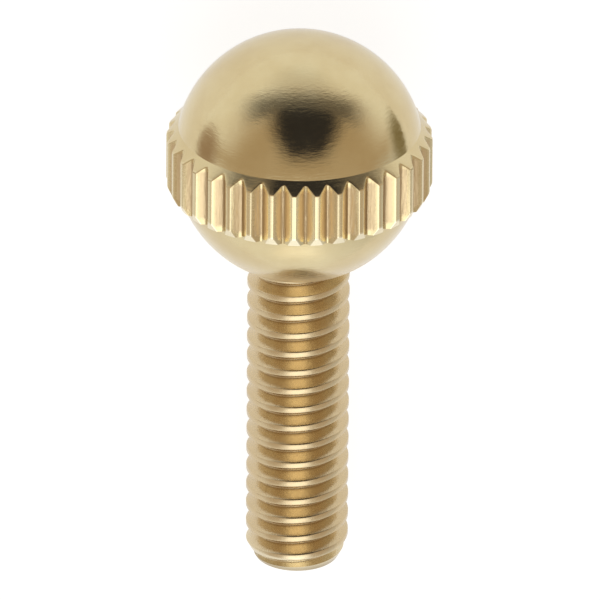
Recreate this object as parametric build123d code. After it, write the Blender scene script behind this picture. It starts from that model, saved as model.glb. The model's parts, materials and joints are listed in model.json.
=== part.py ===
from build123d import *
import math
import os

# Thumb screw turned in one piece: a ball head with a knurled band around its middle, and a straight
# shank with a bevelled tip. It is drawn upright, with the band's middle at zero and the tip straight
# down, and is then laid on its side as it comes to rest.

# Driving dimensions, in millimetres.
BALL_DIAMETER = 9.525
BALL_STRETCH = 0.15
BAND_DIAMETER = 10.1
BAND_WIDTH = 1.85
BAND_BEVEL = 0.6
FOOT_BEVEL_LENGTH = 0.31
FOOT_BEVEL_WIDTH = 0.15
RIDGE_LAND = 0.18
GROOVE_DEPTH = 0.31
GROOVE_FLAT = 0.1
SHANK_DIAMETER = 3.9
SHANK_LENGTH = 12.6
TIP_BEVEL_LENGTH = 0.68
TIP_BEVEL_WIDTH = 0.35
RIDGE_COUNT = 36

# How far a cutter runs past the metal it cuts.
OVERRUN = 0.5

# Sizes that follow from the driving dimensions.
BALL_RADIUS = BALL_DIAMETER / 2
BAND_RADIUS = BAND_DIAMETER / 2
SHANK_RADIUS = SHANK_DIAMETER / 2
BAND_TOP = BAND_WIDTH / 2 + BAND_BEVEL
BAND_BOTTOM = BAND_WIDTH / 2 + FOOT_BEVEL_LENGTH
RIDGE_PITCH = math.pi * BAND_DIAMETER / RIDGE_COUNT
GROOVE_WIDTH = RIDGE_PITCH - RIDGE_LAND
SHANK_START = math.sqrt(BALL_RADIUS**2 - SHANK_RADIUS**2)
TIP_DEPTH = SHANK_START + SHANK_LENGTH


def ball():
    # The dome is raised by a short straight part, which lies under the band.
    dome = CenterArc((0, BALL_STRETCH), BALL_RADIUS, 0, 90)
    side = Line((BALL_RADIUS, BALL_STRETCH), (BALL_RADIUS, 0))
    underside = CenterArc((0, 0), BALL_RADIUS, -90, 90)
    middle = Line((0, -BALL_RADIUS), (0, BALL_STRETCH + BALL_RADIUS))
    section = make_face([dome, side, underside, middle])
    return revolve(Plane.XZ * section, Axis.Z)


def band():
    # The upper bevel sinks into the dome. The lower one is steeper and ends in a flat that runs in to the
    # ball.
    blank = Cylinder(BAND_RADIUS, BAND_TOP + BAND_BOTTOM, align=(Align.CENTER, Align.CENTER, Align.MAX))
    blank = Pos(0, 0, BAND_TOP) * blank
    upper_rim = blank.edges().filter_by(GeomType.CIRCLE).sort_by(Axis.Z).last
    bevelled = chamfer(upper_rim, BAND_BEVEL)
    lower_rim = bevelled.edges().filter_by(GeomType.CIRCLE).sort_by(Axis.Z).first
    wall = bevelled.faces().filter_by(GeomType.CYLINDER).first
    return chamfer(lower_rim, FOOT_BEVEL_LENGTH, FOOT_BEVEL_WIDTH, reference=wall)


def shank():
    # The upper end is buried in the ball.
    blank = Cylinder(SHANK_RADIUS, TIP_DEPTH, align=(Align.CENTER, Align.CENTER, Align.MAX))
    tip_edge = blank.edges().filter_by(GeomType.CIRCLE).sort_by(Axis.Z).first
    wall = blank.faces().filter_by(GeomType.CYLINDER).first
    return chamfer(tip_edge, TIP_BEVEL_LENGTH, TIP_BEVEL_WIDTH, reference=wall)


def groove_section():
    # Straight flanks from a narrow flat at the bottom, carried on past the band's surface and the ball's.
    flank_slope = (GROOVE_WIDTH - GROOVE_FLAT) / 2 / GROOVE_DEPTH
    bottom = BAND_RADIUS - GROOVE_DEPTH
    mouth = max(BAND_RADIUS, BALL_RADIUS) + OVERRUN
    bottom_half = GROOVE_FLAT / 2
    mouth_half = GROOVE_WIDTH / 2 + flank_slope * (mouth - BAND_RADIUS)
    corners = [(bottom, -bottom_half), (mouth, -mouth_half), (mouth, mouth_half), (bottom, bottom_half)]
    return make_face(Polyline(*corners, close=True))


def groove_cutters():
    # One groove per ridge, all the way through the band and out of both its edges.
    reach = max(BAND_TOP, BAND_BOTTOM) + OVERRUN
    cutter = extrude(groove_section(), reach, both=True)
    return [place * cutter for place in PolarLocations(0, RIDGE_COUNT)]


def screw():
    head = ball() + band()
    return (head - groove_cutters()) + shank()


def rest_tilt():
    # At rest the head lies on the two ridges beside a groove, where the lower bevel starts, and the
    # shank lies on the edge where the tip's bevel starts.
    land_edge = GROOVE_WIDTH / BAND_DIAMETER
    lift = BAND_RADIUS * math.cos(land_edge) - SHANK_RADIUS
    reach = TIP_DEPTH - TIP_BEVEL_LENGTH - BAND_WIDTH / 2
    return math.degrees(math.atan2(lift, reach))


def laid_down(upright):
    # The head points along +X, raised by the tilt, and the floor is at zero below the middle.
    lying = Rot(0, 90 - rest_tilt(), 0) * upright
    box = lying.bounding_box()
    middle = box.center()
    return Pos(-middle.X, -middle.Y, -box.min.Z) * lying


os.makedirs("parts", exist_ok=True)
thumb_screw = laid_down(screw())
thumb_screw.label = "thumb_screw"
export_step(thumb_screw, "parts/thumb_screw.step")
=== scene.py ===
import json
import math

import bmesh
import bpy
import numpy as np
from mathutils import Matrix, Vector


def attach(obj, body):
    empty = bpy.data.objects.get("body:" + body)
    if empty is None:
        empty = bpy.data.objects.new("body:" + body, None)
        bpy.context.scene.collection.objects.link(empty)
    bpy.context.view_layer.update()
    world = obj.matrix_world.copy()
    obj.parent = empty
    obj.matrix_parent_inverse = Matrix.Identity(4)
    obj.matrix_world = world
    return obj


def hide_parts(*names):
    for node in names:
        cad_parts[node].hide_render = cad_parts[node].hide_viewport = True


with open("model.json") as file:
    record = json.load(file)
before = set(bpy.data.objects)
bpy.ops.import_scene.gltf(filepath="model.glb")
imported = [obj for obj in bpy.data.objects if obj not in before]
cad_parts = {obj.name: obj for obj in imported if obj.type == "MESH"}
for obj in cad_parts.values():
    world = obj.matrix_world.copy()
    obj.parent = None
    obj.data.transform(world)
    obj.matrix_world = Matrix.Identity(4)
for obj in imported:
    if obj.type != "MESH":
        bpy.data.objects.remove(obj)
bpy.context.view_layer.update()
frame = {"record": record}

# The thumb screw is drawn upright about its own axis, in millimetres, with the band's middle at zero and
# the tip straight down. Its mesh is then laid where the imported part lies, in metres.

# Sizes of the screw in millimetres, as in the part.
BALL_DIAMETER = 9.525
BALL_STRETCH = 0.15
BAND_DIAMETER = 10.1
BAND_WIDTH = 1.85
FOOT_BEVEL_LENGTH = 0.31
FOOT_BEVEL_WIDTH = 0.15
RIDGE_LAND = 0.18
GROOVE_DEPTH = 0.31
GROOVE_FLAT = 0.1
RIDGE_COUNT = 36
SHANK_DIAMETER = 3.9
SHANK_LENGTH = 12.6
TIP_BEVEL_LENGTH = 0.68
TIP_BEVEL_WIDTH = 0.35

# The thread, which the part leaves as a plain shank: right-handed, 32 turns to the inch. The crest's
# height is that of a crest in front.
INCH = 25.4
TURNS_PER_INCH = 32
CREST_FLAT = 0.23
ROOT_FLAT = 0.06
THREAD_HALF_ANGLE = math.radians(30)
THREAD_CREST_Z = -4.279

# How far the sharp edges are rounded, and where points lie along a rounded corner.
RIDGE_ROUNDING = 0.02
GROOVE_ROUNDING = 0.07
EDGE_ROUNDING = 0.05
THREAD_ROUNDING = 0.026
ROUNDING_SAMPLES = 9
CORNER_SHARES = np.array([-1, -0.4, 0.3, 1])

# How finely the surfaces are divided. A ridge has three times as many columns as the dome over it.
DOME_COLUMNS_PER_RIDGE = 6
DOME_RINGS = 40
UNDERSIDE_RINGS = 34
GROOVE_BOTTOM_POINTS = 4
EDGE_STEPS = 4
THREAD_COLUMNS = 96
THREAD_SPARE_TURNS = 2
TIP_COLUMNS = 192
SHARP_ANGLE = math.radians(24)
MERGE_DISTANCE = 0.0005

# The brass's colours, with painted highlights on the lands, the tip's bevel and the facets under the ridges,
# painted light in the corner between ball and shank, and painted shade in the roots and at the tip's end.
BALL_TONES = ((0.67, 0.54, 0.29, 1), (0.72, 0.60, 0.34, 1))
THREAD_TONE = (0.68, 0.54, 0.32, 1)
LAND_PAINTED_HIGHLIGHT_TONE = (0.76, 0.64, 0.385, 1)
GROOVE_TONE = (0.69, 0.535, 0.31, 1)
ROOT_PAINTED_SHADE_TONE = (0.55, 0.42, 0.24, 1)
TIP_PAINTED_HIGHLIGHT_TONE = (0.78, 0.67, 0.45, 1)
TIP_END_PAINTED_SHADE_TONE = (0.52, 0.43, 0.28, 1)
FOOT_PAINTED_HIGHLIGHT_TONE = (0.90, 0.80, 0.56, 1)
CORNER_PAINTED_LIGHT_TONE = (0.82, 0.69, 0.45, 1)

# Where each finish, painted highlight and painted shade starts and where it is full, in millimetres past the
# place that it is tied to.
THREAD_MARGINS = (0.15, 0.05)
THREAD_TOP_MARGINS = (0.145, -0.155)
THREAD_ROOT_MARGINS = (0.1, 0.03)
BAND_MARGINS = (-0.08, -0.02)
BAND_EDGE_MARGINS = (0.175, -0.025)
LAND_MARGINS = (-0.08, -0.04)
GROOVE_MARGINS = (-0.05, -0.17)
GROOVE_ROOT_MARGINS = (0.12, 0.04)
FOOT_MARGINS = (-0.04, -0.01)
FOOT_END_MARGINS = (-0.265, -0.065)
CORNER_MARGINS = (2.05, 0.85)
CORNER_TOP_MARGINS = (1.845, 0.945)
CORNER_END_MARGINS = (-0.155, 0.145)
TIP_MARGINS = (0.265, -0.085)
TIP_END_MARGINS = (0.325, 0.065)

# Marks in the brass: how many to a radian around the axis and to a millimetre along it, and how high they
# stand in millimetres. Streaks and lines run around the screw, and scratches run along the grooves.
STREAKS_AROUND = 12.0
STREAKS_ALONG = 10.0
STREAK_HEIGHT = 0.006
STREAK_SPAN = (0.4, 0.75)
LINES_AROUND = 2.0
LINES_ALONG = 36.0
LINE_HEIGHT = 0.0009
SCRATCHES_AROUND = 70.0
SCRATCHES_ALONG = 1.5
SCRATCH_HEIGHT = 0.016
SCRATCH_MIDDLE = 0.5
CLOUDS_ALONG = 0.7
CLOUD_SPAN = (0.3, 0.7)
STREAK_GRAIN = {"detail": 3.0, "roughness": 0.6}
CLOUD_GRAIN = {"detail": 3.0, "roughness": 0.55}
PLAIN_GRAIN = {"detail": 2.0, "roughness": 0.5}

# The brass's roughness, and what each finish adds to it.
BALL_ROUGHNESS = (0.10, 0.15)
STREAK_ROUGHNESS = (0.0, 0.06)
THREAD_ROUGHNESS = 0.13
BAND_ROUGHNESS = 0.10
GROOVE_ROUGHNESS = 0.12
CORNER_ROUGHNESS = 0.3
COAT_WEIGHT = 0.35
COAT_ROUGHNESS = 0.1

# The room, by direction. Right, front and up are the upright screw's own and run from -1 to 1. A span says
# where a thing starts and where it is full, and levels or shares say how strong it is at both.
ROOM_DIM = (0.53, 0.43, 0.32, 1)
ROOM_PALE = (0.97, 0.97, 0.97, 1)
PALE_LEAN_SHARE = 0.16
PALE_FRONT_SPAN = (0.55, -0.28)
PALE_UP_SPAN = (0.04, 0.30)
NEAR_FLOOR_SPAN = (0.08, -0.17)
NEAR_FLOOR_UP_SPAN = (0.05, 0.4)
UNDER_FLOOR_SPAN = (0.15, -0.25)
OVERHEAD_TONE = (0.3, 0.3, 0.3, 1)
OVERHEAD_SPAN = (0.85, 1.0)
OVERHEAD_SHARES = (0.0, 0.25)

# The dark strip overhead, and the dark form that stands below it.
DARK_TONE = (0.015, 0.018, 0.028, 1)
STRIP_MIDDLE = 0.04
STRIP_BOW_SHARE = 0.3
STRIP_START_SPAN = (-0.08, 0.26)
STRIP_END_SPAN = (0.54, 0.36)
STRIP_SIDE_SPAN = (0.9, 0.56)
STRIP_UP_SPAN = (0.4, 0.6)
STRIP_SHARES = (0.0, 0.76)
FORM_MIDDLE = 0.10
FORM_WIDTH_SPAN = (0.35, 0.75)
FORM_HALF_WIDTHS = (0.33, 0.52)
FORM_EDGE_SPAN = (0.2, -0.2)
FORM_UP_SPAN = (0.22, 0.52)
FORM_FRONT_SPAN = (0.18, 0.36)
FORM_SHARES = (0.0, 0.96)

# The bright table below, with a lamp's light in front, a patch of light under that and a shade at both
# sides.
TABLE_SPAN = (0.10, -0.12)
TABLE_UP_SPAN = (-0.5, -0.9)
TABLE_LEVELS = (0.88, 1.0)
TABLE_RIGHT_SPAN = (0.1, 0.8)
TABLE_RIGHT_SHARES = (1.0, 0.75)
LAMP_SPAN = (0.86, 0.985)
LAMP_LEVELS = (0.0, 0.9)
PATCH_START_SPAN = (-0.84, -0.92)
PATCH_END_SPAN = (-1.0, -0.95)
PATCH_SIDE_SPAN = (0.34, 0.08)
PATCH_FRONT_SPAN = (0.0, 0.2)
PATCH_LEVELS = (0.0, 0.3)
SHADE_TONE = (0.54, 0.43, 0.32, 1)
SHADE_SIDE_SPAN = (0.34, 0.62)
SHADE_UP_SPAN = (-0.8, -0.55)
SHADE_FRONT_SPAN = (0.1, 0.45)
SHADE_SHARES = (0.0, 0.8)

# Two brown things beside the screw, each with its direction and colour.
BESIDE_SPAN = (0.945, 0.996)
LEFT_THING = ((-0.993, -0.10, 0.0), (0.41, 0.31, 0.24, 1))
RIGHT_THING = ((0.93, -0.37, 0.0), (0.25, 0.21, 0.12, 1))

# The floor: half its width in millimetres, its tone, and how much it glows to the camera and to the brass
# that mirrors it.
FLOOR_HALF = 21
FLOOR_TONE = (0.4, 0.4, 0.4, 1)
FLOOR_SEEN_GLOW = 0.84
FLOOR_MIRRORED_GLOW = 0.68
WHITE = (1, 1, 1, 1)

# The camera: how far it stands above the band's plane, how far it is turned about the screw's axis from
# the groove that faces up, its roll, its distance, and what it frames.
CAMERA_ELEVATION = math.radians(27.7)
CAMERA_TURN = math.radians(-2.9)
CAMERA_ROLL = math.radians(0.4)
CAMERA_DISTANCE = 1000
CLIP_SHARES = (0.1, 10)
FRAME_WIDTH = 22.75
FRAME_PIXELS = 600
BAND_PIXEL = (299.4, 157.3)
SENSOR_WIDTH = 36

MM = 0.001

# Sizes that follow.
BALL_RADIUS = BALL_DIAMETER / 2
BAND_RADIUS = BAND_DIAMETER / 2
SHANK_RADIUS = SHANK_DIAMETER / 2
BAND_BOTTOM = BAND_WIDTH / 2 + FOOT_BEVEL_LENGTH
RIDGE_PITCH = math.pi * BAND_DIAMETER / RIDGE_COUNT
GROOVE_WIDTH = RIDGE_PITCH - RIDGE_LAND
GROOVE_BOTTOM = BAND_RADIUS - GROOVE_DEPTH
SHANK_START = math.sqrt(BALL_RADIUS**2 - SHANK_RADIUS**2)
TIP_DEPTH = SHANK_START + SHANK_LENGTH
THREAD_PITCH = INCH / TURNS_PER_INCH
THREAD_FLANK = (THREAD_PITCH - CREST_FLAT - ROOT_FLAT) / 2
THREAD_DEPTH = THREAD_FLANK / math.tan(THREAD_HALF_ANGLE)
FRONT_ANGLE = math.pi + CAMERA_TURN


def rounded(profile, place, reach):
    # The mean of a profile over a short reach on both sides, which rounds its corners.
    shares = np.linspace(-1, 1, ROUNDING_SAMPLES)
    return np.mean([profile(place + share * reach) for share in shares], axis=0)


def ridge_profile(place):
    # The band's radius at a distance around it from a groove's middle.
    away = np.abs((place + RIDGE_PITCH / 2) % RIDGE_PITCH - RIDGE_PITCH / 2)
    return np.interp(away, [GROOVE_FLAT / 2, GROOVE_WIDTH / 2], [GROOVE_BOTTOM, BAND_RADIUS])


def thread_profile(place):
    # The shank's radius at a distance along it from a crest's middle.
    away = np.abs((place + THREAD_PITCH / 2) % THREAD_PITCH - THREAD_PITCH / 2)
    flank = [CREST_FLAT / 2, CREST_FLAT / 2 + THREAD_FLANK]
    return np.interp(away, flank, [SHANK_RADIUS, SHANK_RADIUS - THREAD_DEPTH])


def around(radius, height, angle):
    # Points at these radii, heights and angles about the axis.
    radius, height, angle = np.broadcast_arrays(radius, height, angle)
    return np.stack([radius * np.cos(angle), radius * np.sin(angle), height], axis=-1)


def ridge_places():
    # Places around one ridge, from one groove's middle to the next, close together at the corners.
    root, land = GROOVE_FLAT / 2, GROOVE_WIDTH / 2
    bottom = np.linspace(0, root + GROOVE_ROUNDING, GROOVE_BOTTOM_POINTS)
    corner = land + CORNER_SHARES * RIDGE_ROUNDING
    half = np.concatenate([bottom, [(root + land) / 2], corner])
    return np.concatenate([half, [RIDGE_PITCH / 2], RIDGE_PITCH - half[:0:-1]])


def ridge_radius(place):
    # The band's radius with the grooves' bottoms and the ridges' corners rounded.
    away = np.abs((place + RIDGE_PITCH / 2) % RIDGE_PITCH - RIDGE_PITCH / 2)
    in_groove = away < (GROOVE_FLAT + GROOVE_WIDTH) / 4
    return rounded(ridge_profile, place, np.where(in_groove, GROOVE_ROUNDING, RIDGE_ROUNDING))


def band_angles():
    # The angles of the band's columns, ridge after ridge.
    one = ridge_places() / BAND_RADIUS
    step = 2 * math.pi / RIDGE_COUNT
    return np.concatenate([one + step * k for k in range(RIDGE_COUNT)])


def bevel_end():
    # Where the band's 45 degree upper bevel meets the dome, as radius and height. The height solves
    # height**2 - b * height + c = 0.
    reach = BAND_RADIUS + BAND_WIDTH / 2
    b = reach + BALL_STRETCH
    c = (reach**2 + BALL_STRETCH**2 - BALL_RADIUS**2) / 2
    height = (b - math.sqrt(b**2 - 4 * c)) / 2
    return reach - height, height


def foot_end():
    # Where the flat under the band meets the ball.
    return math.sqrt(BALL_RADIUS**2 - BAND_BOTTOM**2), -BAND_BOTTOM


def bevel_points(radius):
    # The upper bevel of the band from the dome outwards, then over its edge onto the ridges.
    end_radius, end_height = bevel_end()
    height = BAND_WIDTH / 2 + BAND_RADIUS - radius
    back = EDGE_ROUNDING / math.sqrt(2)
    start = (radius - back, height + back)
    finish = (radius, height - EDGE_ROUNDING)
    points = [(end_radius + 0 * radius, end_height + 0 * radius)]
    points.append(((end_radius + start[0]) / 2, (end_height + start[1]) / 2))
    for step in range(EDGE_STEPS + 1):
        t = step / EDGE_STEPS
        weights = ((1 - t) ** 2, 2 * t * (1 - t), t**2)
        points.append(tuple(sum(w * p[k] for w, p in zip(weights, (start, (radius, height), finish)))
                            for k in range(2)))
    return points


def foot_points(radius):
    # The band's lower bevel, from where a ridge or groove runs out on it, and the flat in to the ball.
    end_radius, end_height = foot_end()
    slope = FOOT_BEVEL_LENGTH / FOOT_BEVEL_WIDTH
    run_out = -BAND_WIDTH / 2 - (BAND_RADIUS - radius) * slope
    rim = np.minimum(radius, BAND_RADIUS - FOOT_BEVEL_WIDTH)
    return [(radius, np.maximum(run_out, end_height)), (rim, end_height + 0 * radius),
            (end_radius + 0 * radius, end_height + 0 * radius)]


def band_rings():
    # Rings of points from the dome's edge down over the band to the underside's edge.
    angles = band_angles()
    radius = ridge_radius(angles * BAND_RADIUS)
    outline = bevel_points(radius) + [(radius, 0 * radius)] + foot_points(radius)
    return [around(r, z, angles) for r, z in outline]


def cap_rings(centre, end, count):
    # Rings of a ball from near its pole to the ring before the one where the band meets it.
    end_radius, end_height = end
    side = 1 if end_height > centre else -1
    last = math.atan2(end_radius, side * (end_height - centre))
    columns = DOME_COLUMNS_PER_RIDGE * RIDGE_COUNT
    angles = np.arange(columns) * 2 * math.pi / columns
    polar = last * np.arange(1, count) / count
    return [around(BALL_RADIUS * math.sin(p), centre + side * BALL_RADIUS * math.cos(p), angles)
            for p in polar]


class Skin:
    # Rings of points and the faces between them, gathered into one mesh.
    def __init__(self):
        self.points, self.faces = [], []

    def ring(self, points):
        start = len(self.points)
        self.points += [tuple(p) for p in points]
        return list(range(start, len(self.points)))

    def quads(self, upper, lower):
        n = len(upper)
        for i in range(n):
            j = (i + 1) % n
            self.faces.append((upper[i], lower[i], lower[j], upper[j]))

    def fan(self, pole, ring, flip=False):
        centre = self.ring([pole])[0]
        n = len(ring)
        for i in range(n):
            j = (i + 1) % n
            self.faces.append((centre, ring[j], ring[i]) if flip else (centre, ring[i], ring[j]))

    def widen(self, few, many, flip=False):
        # Joins a ring to one with three times as many points.
        n = len(few)
        for i in range(n):
            a, b = few[i], few[(i + 1) % n]
            m = [many[(3 * i + k) % len(many)] for k in range(4)]
            for face in ((a, m[0], m[1]), (a, m[1], m[2], b), (b, m[2], m[3])):
                self.faces.append(face[::-1] if flip else face)

    def object(self, name):
        mesh = bpy.data.meshes.new(name)
        mesh.from_pydata(self.points, [], self.faces)
        mesh.validate()
        mesh.update()
        made = bpy.data.objects.new(name, mesh)
        bpy.context.scene.collection.objects.link(made)
        return made


def head():
    # The ball with its band, from the dome's pole to the underside's pole.
    skin = Skin()
    dome = [skin.ring(r) for r in cap_rings(BALL_STRETCH, bevel_end(), DOME_RINGS)]
    band = [skin.ring(r) for r in band_rings()]
    under = [skin.ring(r) for r in cap_rings(0, foot_end(), UNDERSIDE_RINGS)[::-1]]
    skin.fan((0, 0, BALL_STRETCH + BALL_RADIUS), dome[0])
    for upper, lower in zip(dome, dome[1:]):
        skin.quads(upper, lower)
    skin.widen(dome[-1], band[0])
    for upper, lower in zip(band, band[1:]):
        skin.quads(upper, lower)
    skin.widen(under[0], band[-1], flip=True)
    for upper, lower in zip(under, under[1:]):
        skin.quads(upper, lower)
    skin.fan((0, 0, -BALL_RADIUS), under[-1], flip=True)
    made = skin.object("head")
    close(made.data)
    return made


def thread_places():
    # Places along one pitch of the thread, from a crest's middle to the next, close at the corners.
    crest, root = CREST_FLAT / 2, CREST_FLAT / 2 + THREAD_FLANK
    corner = CORNER_SHARES * THREAD_ROUNDING
    half = np.concatenate([[0], crest + corner, [(crest + root) / 2], root + corner])
    return np.concatenate([half, [THREAD_PITCH / 2], THREAD_PITCH - half[:0:-1]])


def threaded_rod():
    # A rod with the thread, from inside the ball to past the tip. Each column of points starts a little
    # further along than the one before it, so that the rows follow the thread.
    top, bottom = -BALL_RADIUS / 2, -TIP_DEPTH - THREAD_PITCH
    places = thread_places()
    rows = len(places)
    turns = math.ceil((top - bottom) / THREAD_PITCH) + 2 * THREAD_SPARE_TURNS
    down = np.concatenate([places + THREAD_PITCH * k for k in range(turns)])
    angles = np.arange(THREAD_COLUMNS) * 2 * math.pi / THREAD_COLUMNS
    rise = THREAD_PITCH * (angles - FRONT_ANGLE) / (2 * math.pi)
    turns_over = math.ceil((top - THREAD_CREST_Z) / THREAD_PITCH + THREAD_SPARE_TURNS)
    start = THREAD_CREST_Z + THREAD_PITCH * turns_over
    height = np.clip(start + rise[:, None] - down[None, :], bottom, top)
    along = start + rise[:, None] - height
    radius = rounded(thread_profile, along, THREAD_ROUNDING)
    skin = Skin()
    columns = [skin.ring(around(radius[i], height[i], angles[i])) for i in range(THREAD_COLUMNS)]
    for i in range(THREAD_COLUMNS):
        last = i == THREAD_COLUMNS - 1
        shift = rows if last else 0
        right = columns[0] if last else columns[i + 1]
        for k in range(shift, len(down) - 1):
            skin.faces.append((columns[i][k], columns[i][k + 1], right[k + 1 - shift], right[k - shift]))
    made = skin.object("rod")
    close(made.data)
    return made


def close(mesh):
    # Merges points that fell together and fills what openings are left at the ends.
    work = bmesh.new()
    work.from_mesh(mesh)
    bmesh.ops.remove_doubles(work, verts=work.verts, dist=MERGE_DISTANCE)
    bmesh.ops.dissolve_degenerate(work, edges=work.edges, dist=MERGE_DISTANCE)
    bmesh.ops.holes_fill(work, edges=[e for e in work.edges if e.is_boundary], sides=0)
    bmesh.ops.recalc_face_normals(work, faces=work.faces)
    work.to_mesh(mesh)
    work.free()


def tip_shape():
    # The room that the rod is cut to: clear of the thread, then down the tip's bevel to its flat end.
    clear = 2 * SHANK_RADIUS
    bevel_start = -TIP_DEPTH + TIP_BEVEL_LENGTH
    slope = TIP_BEVEL_WIDTH / TIP_BEVEL_LENGTH
    clear_z = bevel_start + (clear - SHANK_RADIUS) / slope
    angles = np.arange(TIP_COLUMNS) * 2 * math.pi / TIP_COLUMNS
    skin = Skin()
    top = skin.ring(around(clear, 0, angles))
    side = skin.ring(around(clear, clear_z, angles))
    end = skin.ring(around(SHANK_RADIUS - TIP_BEVEL_WIDTH, -TIP_DEPTH, angles))
    skin.fan((0, 0, 0), top)
    skin.quads(top, side)
    skin.quads(side, end)
    skin.fan((0, 0, -TIP_DEPTH), end, flip=True)
    return skin.object("tip_shape")


def combined(first, second, how):
    # One solid from two, which are then removed.
    step = first.modifiers.new(how, "BOOLEAN")
    step.operation = how
    step.object = second
    step.solver = "EXACT"
    graph = bpy.context.evaluated_depsgraph_get()
    mesh = bpy.data.meshes.new_from_object(first.evaluated_get(graph))
    made = bpy.data.objects.new("thumb_screw_brass", mesh)
    bpy.context.scene.collection.objects.link(made)
    for old in (first, second):
        bpy.data.objects.remove(old)
    return made


def laid_down():
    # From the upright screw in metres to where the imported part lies, by its tip.
    tip = next(m for m in frame["record"]["mounts"] if m["name"] == "tip")
    z = -Vector(tip["axis"]).normalized()
    x = Vector((0, 1, 0)).cross(z)
    y = z.cross(x)
    place = Matrix((x, y, z)).transposed().to_4x4()
    place.translation = Vector(tip["pos_m"]) + z * TIP_DEPTH * MM
    return place


def screw(place):
    # The rod is cut to its length and joined to the head, and the whole is laid down.
    rod = combined(threaded_rod(), tip_shape(), "INTERSECT")
    made = combined(head(), rod, "UNION")
    made.name = made.data.name = "thumb_screw_brass"
    mesh = made.data
    close(mesh)
    mesh.transform(place @ Matrix.Scale(MM, 4))
    mesh.shade_smooth()
    mesh.set_sharp_from_angle(angle=SHARP_ANGLE)
    even = made.modifiers.new("even_normals", "WEIGHTED_NORMAL")
    even.keep_sharp = True
    return made


class Nodes:
    # Short ways to add nodes to a tree. A value is a number, a vector or another node's output.
    def __init__(self, tree):
        self.tree = tree

    def add(self, kind, **settings):
        node = self.tree.nodes.new(kind)
        for name, value in settings.items():
            setattr(node, name, value)
        return node

    def put(self, socket, value):
        if isinstance(value, bpy.types.NodeSocket):
            self.tree.links.new(value, socket)
        else:
            socket.default_value = value

    def math(self, operation, *values):
        node = self.add("ShaderNodeMath", operation=operation)
        for socket, value in zip(node.inputs, values):
            self.put(socket, value)
        return node.outputs[0]

    def folded(self, operation, values):
        result = values[0]
        for value in values[1:]:
            result = self.math(operation, result, value)
        return result

    def plus(self, *values):
        return self.folded("ADD", values)

    def minus(self, *values):
        return self.folded("SUBTRACT", values)

    def times(self, *values):
        return self.folded("MULTIPLY", values)

    def largest(self, *values):
        return self.folded("MAXIMUM", values)

    def size(self, value):
        return self.math("ABSOLUTE", value)

    def dot(self, vector, axis):
        node = self.add("ShaderNodeVectorMath", operation="DOT_PRODUCT")
        self.put(node.inputs[0], vector)
        self.put(node.inputs[1], tuple(axis))
        return node.outputs["Value"]

    def scaled(self, vector, scale):
        node = self.add("ShaderNodeVectorMath", operation="SCALE")
        self.put(node.inputs[0], vector)
        self.put(node.inputs["Scale"], scale)
        return node.outputs[0]

    def joined(self, x, y, z):
        node = self.add("ShaderNodeCombineXYZ")
        for socket, value in zip(node.inputs, (x, y, z)):
            self.put(socket, value)
        return node.outputs[0]

    def ease(self, value, span, levels=(0.0, 1.0)):
        # Runs smoothly from the first level to the second while the value runs through the span.
        node = self.add("ShaderNodeMapRange", interpolation_type="SMOOTHSTEP")
        node.inputs["From Min"].default_value, node.inputs["From Max"].default_value = span
        node.inputs["To Min"].default_value, node.inputs["To Max"].default_value = levels
        self.put(node.inputs["Value"], value)
        return node.outputs[0]

    def mix(self, share, first, second):
        # Of a mixing node's many sockets, 6 and 7 take colours and 2 gives one.
        node = self.add("ShaderNodeMix", data_type="RGBA")
        self.put(node.inputs[0], share)
        self.put(node.inputs[6], first)
        self.put(node.inputs[7], second)
        return node.outputs[2]

    def noise(self, vector, detail, roughness):
        node = self.add("ShaderNodeTexNoise")
        self.put(node.inputs["Vector"], vector)
        node.inputs["Scale"].default_value = 1.0
        node.inputs["Detail"].default_value = detail
        node.inputs["Roughness"].default_value = roughness
        return node.outputs["Fac"]

    def bump(self, height, distance):
        node = self.add("ShaderNodeBump")
        self.put(node.inputs["Height"], height)
        node.inputs["Strength"].default_value = 1.0
        node.inputs["Distance"].default_value = distance
        return node.outputs[0]


def past(place, margins):
    # The span that starts and ends at these margins past a place.
    return place + margins[0], place + margins[1]


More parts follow.
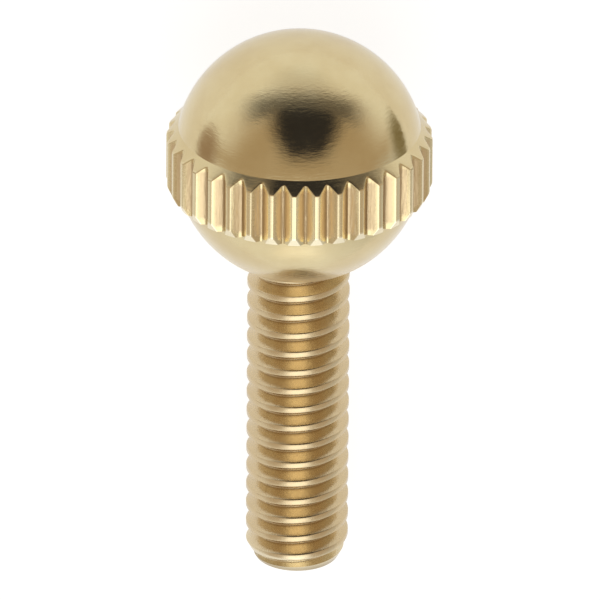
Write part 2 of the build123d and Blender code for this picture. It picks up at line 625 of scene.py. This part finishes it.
class FinishesAndPaintedLight:
    # The brass's finishes, painted highlights and painted shades, each a share from 0 to 1 by where it is on
    # the screw.
    def __init__(self, n, out, z):
        self.on_thread = n.times(n.ease(out, past(SHANK_RADIUS, THREAD_MARGINS)),
                                 n.ease(z, past(-SHANK_START, THREAD_TOP_MARGINS)))
        self.on_band = n.times(n.ease(out, past(GROOVE_BOTTOM, BAND_MARGINS)),
                               n.ease(n.size(z), past(BAND_WIDTH / 2, BAND_EDGE_MARGINS)))
        # The ridges' lands get a painted highlight.
        self.land_painted_highlight = n.times(self.on_band, n.ease(out, past(BAND_RADIUS, LAND_MARGINS)))
        self.in_groove = n.times(self.on_band, n.ease(out, past(BAND_RADIUS, GROOVE_MARGINS)))
        # The grooves' bottoms and the thread's roots get painted shade.
        groove_root_painted_shade = n.times(self.on_band, n.ease(out, past(GROOVE_BOTTOM, GROOVE_ROOT_MARGINS)))
        thread_root_shade_span = past(SHANK_RADIUS - THREAD_DEPTH, THREAD_ROOT_MARGINS)
        self.root_painted_shade = n.plus(groove_root_painted_shade, n.times(self.on_thread, n.ease(out, thread_root_shade_span)))
        # The facets at the ridges' lower ends, which get a painted highlight, are where the radius fits the
        # bevel's slope.
        drop = n.times(n.plus(z, BAND_WIDTH / 2), FOOT_BEVEL_WIDTH / FOOT_BEVEL_LENGTH)
        self.foot_painted_highlight = n.times(n.ease(n.minus(out, drop), past(BAND_RADIUS, FOOT_MARGINS)),
                               n.ease(z, past(-BAND_BOTTOM, FOOT_END_MARGINS)))
        # The corner between ball and shank, which gets painted light over its shade and more roughness.
        self.corner_painted_light_and_roughness = n.times(n.ease(out, past(SHANK_RADIUS, CORNER_MARGINS)),
                                 n.ease(z, past(-SHANK_START, CORNER_TOP_MARGINS)),
                                 n.ease(z, past(-SHANK_START, CORNER_END_MARGINS)))
        # The tip's bevel gets a painted highlight.
        self.tip_painted_highlight = n.ease(z, past(TIP_BEVEL_LENGTH - TIP_DEPTH, TIP_MARGINS))
        # The tip's end gets painted shade.
        self.end_painted_shade = n.ease(z, past(-TIP_DEPTH, TIP_END_MARGINS))


def screw_spot(n, place):
    # Where a point lies on the screw, in millimetres: the point as seen from the band's middle, its distance
    # from the axis, its height, and its turn about the axis in radians.
    from_middle = n.add("ShaderNodeVectorMath", operation="SUBTRACT")
    n.put(from_middle.inputs[0], n.add("ShaderNodeTexCoord").outputs["Object"])
    n.put(from_middle.inputs[1], tuple(place.translation))
    spot = n.scaled(from_middle.outputs[0], 1 / MM)
    x, y, z = (n.dot(spot, axis) for axis in place.to_3x3().transposed())
    out = n.math("SQRT", n.plus(n.times(x, x), n.times(y, y)))
    turn = n.math("ARCTAN2", y, n.times(x, -1.0))
    return spot, out, z, turn


class Marks:
    # Fine marks, as turning, polishing and cutting leave them, and clouds where the polish changes.
    def __init__(self, n, spot, out, z, turn):
        self.streaks = n.noise(n.joined(n.times(turn, STREAKS_AROUND), n.times(z, STREAKS_ALONG),
                                        n.times(out, STREAKS_ALONG)), **STREAK_GRAIN)
        self.lines = n.noise(n.joined(n.times(turn, LINES_AROUND), n.times(z, LINES_ALONG),
                                      n.times(out, LINES_ALONG)), **PLAIN_GRAIN)
        self.scratches = n.noise(n.joined(n.times(turn, SCRATCHES_AROUND), n.times(z, SCRATCHES_ALONG), 0.0),
                                 **PLAIN_GRAIN)
        self.clouds = n.noise(n.scaled(spot, CLOUDS_ALONG), **CLOUD_GRAIN)


def brass_tone(n, finish, marks):
    # The ball's tone changes slowly over it, and each finish lies over the ones before it: lighter lands,
    # tip bevel, facets and corner as painted highlights and painted light, and darker roots and tip end as
    # painted shade.
    tone = n.mix(n.ease(marks.clouds, CLOUD_SPAN), *BALL_TONES)
    for share, colour in ((finish.on_thread, THREAD_TONE), (finish.land_painted_highlight, LAND_PAINTED_HIGHLIGHT_TONE),
                          (finish.in_groove, GROOVE_TONE), (finish.root_painted_shade, ROOT_PAINTED_SHADE_TONE),
                          (finish.tip_painted_highlight, TIP_PAINTED_HIGHLIGHT_TONE), (finish.end_painted_shade, TIP_END_PAINTED_SHADE_TONE),
                          (finish.foot_painted_highlight, FOOT_PAINTED_HIGHLIGHT_TONE), (finish.corner_painted_light_and_roughness, CORNER_PAINTED_LIGHT_TONE)):
        tone = n.mix(share, tone, colour)
    return tone


def brass_roughness(n, finish, marks):
    # Smooth on the ball, and rougher where polishing doesn't reach.
    rough = n.plus(n.ease(marks.clouds, CLOUD_SPAN, BALL_ROUGHNESS),
                   n.ease(marks.streaks, STREAK_SPAN, STREAK_ROUGHNESS))
    for share, more in ((finish.on_thread, THREAD_ROUGHNESS), (finish.on_band, BAND_ROUGHNESS),
                        (finish.in_groove, GROOVE_ROUGHNESS), (finish.corner_painted_light_and_roughness, CORNER_ROUGHNESS)):
        rough = n.plus(rough, n.times(share, more))
    return rough


def brass_height(n, finish, marks):
    # How high the marks stand, in millimetres.
    scratched = n.times(n.minus(marks.scratches, SCRATCH_MIDDLE), finish.in_groove, SCRATCH_HEIGHT)
    return n.plus(n.times(marks.streaks, STREAK_HEIGHT), n.times(marks.lines, LINE_HEIGHT), scratched)


def brass(place):
    material = bpy.data.materials.new("polished_brass")
    material.use_nodes = True
    n = Nodes(material.node_tree)
    spot, out, z, turn = screw_spot(n, place)
    finish = FinishesAndPaintedLight(n, out, z)
    marks = Marks(n, spot, out, z, turn)
    shader = material.node_tree.nodes["Principled BSDF"]
    n.put(shader.inputs["Base Color"], brass_tone(n, finish, marks))
    n.put(shader.inputs["Roughness"], brass_roughness(n, finish, marks))
    n.put(shader.inputs["Normal"], n.bump(brass_height(n, finish, marks), MM))
    shader.inputs["Metallic"].default_value = 1.0
    shader.inputs["Coat Weight"].default_value = COAT_WEIGHT
    shader.inputs["Coat Roughness"].default_value = COAT_ROUGHNESS
    return material


def screw_axes(place):
    # Right, front and up of the upright screw as the camera sees it.
    up = (place.to_3x3() @ Vector((0, 0, 1))).normalized()
    front = (place.to_3x3() @ Vector((math.cos(FRONT_ANGLE), math.sin(FRONT_ANGLE), 0))).normalized()
    return up.cross(front), front, up


def pale_room(n, right, front, up, over_floor):
    # Pale at the back and low over the floor, dim and warm in front, and a little darker overhead.
    leaning = n.plus(front, n.times(right, PALE_LEAN_SHARE))
    at_back = n.times(n.ease(leaning, PALE_FRONT_SPAN), n.ease(up, PALE_UP_SPAN))
    near_floor = n.times(n.ease(over_floor, NEAR_FLOOR_SPAN), n.ease(up, NEAR_FLOOR_UP_SPAN))
    pale = n.largest(at_back, near_floor, n.ease(over_floor, UNDER_FLOOR_SPAN))
    room = n.mix(pale, ROOM_DIM, ROOM_PALE)
    return n.mix(n.ease(up, OVERHEAD_SPAN, OVERHEAD_SHARES), room, OVERHEAD_TONE)


def dark_things(n, right, front, up):
    # How dark the strip and the form are: the strip bows, and the form is wider at the top.
    bowed = n.plus(front, n.times(right, right, STRIP_BOW_SHARE))
    strip = n.times(n.ease(bowed, STRIP_START_SPAN), n.ease(bowed, STRIP_END_SPAN),
                    n.ease(n.size(n.minus(right, STRIP_MIDDLE)), STRIP_SIDE_SPAN),
                    n.ease(up, STRIP_UP_SPAN, STRIP_SHARES))
    half = n.ease(up, FORM_WIDTH_SPAN, FORM_HALF_WIDTHS)
    aside = n.minus(n.size(n.minus(right, FORM_MIDDLE)), half)
    form = n.times(n.ease(aside, FORM_EDGE_SPAN), n.ease(up, FORM_UP_SPAN, FORM_SHARES),
                   n.ease(front, FORM_FRONT_SPAN))
    return n.largest(strip, form)


def bright_table(n, right, front, up):
    # The lamp's light is in front, as far below the band's plane as the camera is above it.
    to_lamp = n.minus(n.times(front, math.cos(CAMERA_ELEVATION)), n.times(up, math.sin(CAMERA_ELEVATION)))
    aside = n.size(right)
    plain = n.times(n.ease(up, TABLE_UP_SPAN, TABLE_LEVELS),
                    n.ease(right, TABLE_RIGHT_SPAN, TABLE_RIGHT_SHARES))
    patch = n.times(n.ease(up, PATCH_START_SPAN), n.ease(up, PATCH_END_SPAN),
                    n.ease(aside, PATCH_SIDE_SPAN, PATCH_LEVELS), n.ease(front, PATCH_FRONT_SPAN))
    level = n.plus(plain, n.ease(to_lamp, LAMP_SPAN, LAMP_LEVELS), patch)
    shade = n.times(n.ease(aside, SHADE_SIDE_SPAN), n.ease(up, SHADE_UP_SPAN),
                    n.ease(front, SHADE_FRONT_SPAN, SHADE_SHARES))
    return n.mix(shade, n.joined(level, level, level), SHADE_TONE)


def studio(axes):
    # The room with all that the brass mirrors. The camera itself sees plain white.
    world = bpy.data.worlds.new("studio")
    bpy.context.scene.world = world
    world.use_nodes = True
    n = Nodes(world.node_tree)
    back = world.node_tree.nodes["Background"]
    ray = n.add("ShaderNodeTexCoord").outputs["Generated"]
    right, front, up = (n.dot(ray, axis) for axis in axes)
    room = pale_room(n, right, front, up, n.dot(ray, (0, 0, 1)))
    room = n.mix(dark_things(n, right, front, up), room, DARK_TONE)
    room = n.mix(n.ease(up, TABLE_SPAN), room, bright_table(n, right, front, up))
    for direction, colour in (LEFT_THING, RIGHT_THING):
        towards = sum((share * axis for share, axis in zip(direction, axes)), Vector())
        room = n.mix(n.ease(n.dot(ray, towards), BESIDE_SPAN), room, colour)
    seen = n.add("ShaderNodeLightPath").outputs["Is Camera Ray"]
    n.put(back.inputs["Color"], n.mix(seen, room, WHITE))
    back.inputs["Strength"].default_value = 1.0


def floor():
    # A white floor that keeps the screw's soft shadow.
    half = FLOOR_HALF * MM
    mesh = bpy.data.meshes.new("floor")
    corners = [(-half, -half, 0), (half, -half, 0), (half, half, 0), (-half, half, 0)]
    mesh.from_pydata(corners, [], [(0, 1, 2, 3)])
    made = bpy.data.objects.new("floor", mesh)
    bpy.context.scene.collection.objects.link(made)
    material = bpy.data.materials.new("white_floor")
    material.use_nodes = True
    n = Nodes(material.node_tree)
    shader = material.node_tree.nodes["Principled BSDF"]
    shader.inputs["Base Color"].default_value = FLOOR_TONE
    shader.inputs["Roughness"].default_value = 1.0
    shader.inputs["Specular IOR Level"].default_value = 0.0
    shader.inputs["Emission Color"].default_value = WHITE
    path = n.add("ShaderNodeLightPath").outputs
    mirrored = n.largest(path["Is Glossy Ray"], path["Is Transmission Ray"])
    glow = n.plus(n.times(path["Is Camera Ray"], FLOOR_SEEN_GLOW), n.times(mirrored, FLOOR_MIRRORED_GLOW))
    n.put(shader.inputs["Emission Strength"], glow)
    mesh.materials.append(material)


def camera(place, axes):
    # Looks down on the screw as the photograph does, with the band's middle at its pixel.
    right, front, up = axes
    back = up * math.sin(CAMERA_ELEVATION) + front * math.cos(CAMERA_ELEVATION)
    image_up = (up - back * up.dot(back)).normalized()
    image_right = image_up.cross(back)
    roll_up = image_up * math.cos(CAMERA_ROLL) - image_right * math.sin(CAMERA_ROLL)
    roll_right = image_right * math.cos(CAMERA_ROLL) + image_up * math.sin(CAMERA_ROLL)
    pixel = FRAME_WIDTH / FRAME_PIXELS
    across = (FRAME_PIXELS / 2 - BAND_PIXEL[0]) * pixel
    down = (FRAME_PIXELS / 2 - BAND_PIXEL[1]) * pixel
    aim = place.translation + (roll_right * across - roll_up * down) * MM
    lens = bpy.data.cameras.new("camera")
    lens.sensor_width = SENSOR_WIDTH
    lens.lens = SENSOR_WIDTH * CAMERA_DISTANCE / FRAME_WIDTH
    lens.clip_start, lens.clip_end = (share * CAMERA_DISTANCE * MM for share in CLIP_SHARES)
    made = bpy.data.objects.new("camera", lens)
    bpy.context.scene.collection.objects.link(made)
    turned = Matrix((roll_right, roll_up, back)).transposed().to_4x4()
    turned.translation = aim + back * CAMERA_DISTANCE * MM
    made.matrix_world = turned
    bpy.context.scene.camera = made


bpy.context.scene.view_settings.view_transform = "Standard"
placed = laid_down()
view_axes = screw_axes(placed)
thumb_screw = screw(placed)
thumb_screw.data.materials.clear()
thumb_screw.data.materials.append(brass(placed))
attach(thumb_screw, "root")
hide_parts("thumb_screw")
studio(view_axes)
floor()
camera(placed, view_axes)
